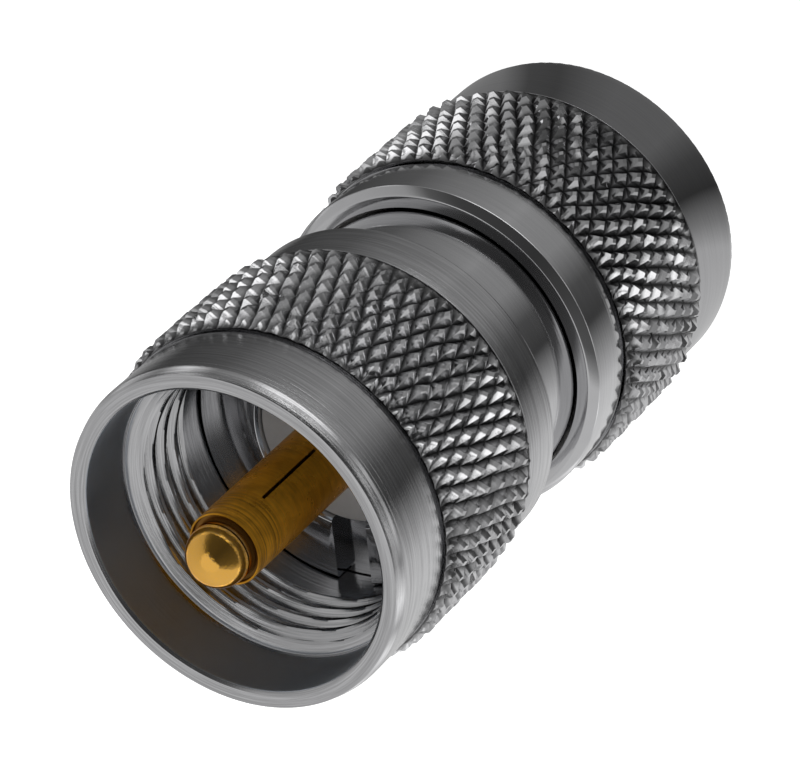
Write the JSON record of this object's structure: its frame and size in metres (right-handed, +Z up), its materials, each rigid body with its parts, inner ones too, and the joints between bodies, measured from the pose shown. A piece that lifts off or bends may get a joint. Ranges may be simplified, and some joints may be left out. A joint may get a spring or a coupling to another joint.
{
  "type": "coaxial adapter",
  "caption": "Straight plug-to-plug coaxial adapter: long contact pins in a turned barrel, with a knurled, inside-threaded coupling nut that spins and slides at each end.",
  "frame": {"origin": "on the common axis, in the plane that the lower nut's rim and the lower pin's tip stand on", "axes": "+Z up along the common axis, from the lower plug to the upper one; +X along the notches across the barrel's faces"},
  "size_m": [0.0198, 0.0198, 0.04],
  "materials": {
    "nickel": "nickel plated brass, turned and diamond knurled",
    "barrel_nickel": "nickel plated brass, polished",
    "gold": "gold plated brass",
    "dielectric": "fluoropolymer, turned",
    "spring": "spring wire"
  },
  "bodies": {
    "barrel_assembly": {"barrel": "barrel_nickel", "insulator_top": "dielectric", "insulator_bottom": "dielectric", "contact_pin_top": "gold", "contact_pin_bottom": "gold", "joining_stud": "gold"},
    "upper_ring": {"retaining_ring_top": "spring"},
    "upper_nut": {"coupling_nut_top": "nickel"},
    "lower_ring": {"retaining_ring_bottom": "spring"},
    "lower_nut": {"coupling_nut_bottom": "nickel"}
  },
  "joints": [
    {"name": "upper_nut_spin", "type": "hinge", "parent": "barrel_assembly", "child": "upper_ring", "pos_m": [0, 0, 0.0251], "axis": [0, 0, 1], "continuous": true},
    {"name": "upper_nut_slide", "type": "slide", "parent": "upper_ring", "child": "upper_nut", "axis": [0, 0, 1], "range_m": [0, 0.0027]},
    {"name": "lower_nut_spin", "type": "hinge", "parent": "barrel_assembly", "child": "lower_ring", "pos_m": [0, 0, 0.0149], "axis": [0, 0, 1], "continuous": true},
    {"name": "lower_nut_slide", "type": "slide", "parent": "lower_ring", "child": "lower_nut", "axis": [0, 0, 1], "range_m": [0, 0.0027]}
  ]
}
